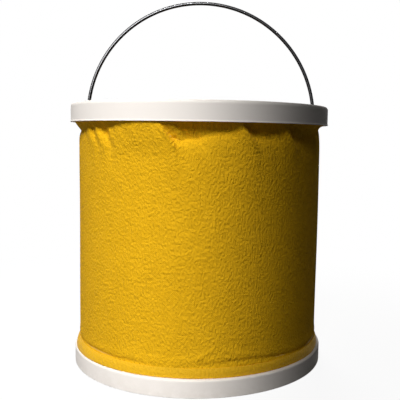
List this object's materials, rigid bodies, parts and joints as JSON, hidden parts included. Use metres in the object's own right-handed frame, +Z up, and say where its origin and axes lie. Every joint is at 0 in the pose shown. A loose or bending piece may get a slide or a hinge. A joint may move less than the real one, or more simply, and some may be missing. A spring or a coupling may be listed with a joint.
{
  "type": "collapsible bucket",
  "caption": "Collapsible camp bucket: coated canvas tube between a moulded top rim and foot rim, with a swinging wire bail; it folds flat by sliding the top rim down.",
  "frame": {"origin": "centre of the foot ring, on the ground", "axes": "+Z up through the bucket's middle; X through the bail's two ends; the wall's seam is at +Y, the back"},
  "size_m": [0.268, 0.268, 0.3738],
  "materials": {
    "rim_plastic": "white moulded polypropylene, satin",
    "clamp_plastic": "white moulded polypropylene, unpolished",
    "canvas": "yellow coated canvas, soft sheen",
    "tape": "yellow coated binding and sealing tape",
    "bail_steel": "dark plated wire, smooth",
    "hoop_steel": "plain galvanised steel"
  },
  "bodies": {
    "base": {"bottom_rim": "rim_plastic", "bottom_clamp_ring": "clamp_plastic", "bottom_hoop_wire": "hoop_steel", "bottom_hem_binding": "tape", "base_cloth": "canvas", "floor_seam_tape": "tape", "cloth_wall": "canvas", "wall_seam_tape": "tape"},
    "top": {"top_rim": "rim_plastic", "top_clamp_ring": "clamp_plastic", "top_hoop_wire": "hoop_steel"},
    "bail": {"bail_handle": "bail_steel", "bail_clip_left": "hoop_steel", "bail_clip_right": "hoop_steel"}
  },
  "joints": [
    {"name": "collapse", "type": "slide", "parent": "base", "child": "top", "axis": [0, 0, -1], "range_m": [0, 0.215], "deforming": ["cloth_wall", "wall_seam_tape"]},
    {"name": "bail_swing", "type": "hinge", "parent": "top", "child": "bail", "pos_m": [0, 0, 0.2528], "axis": [1, 0, 0], "range_deg": [-90, 90]}
  ]
}
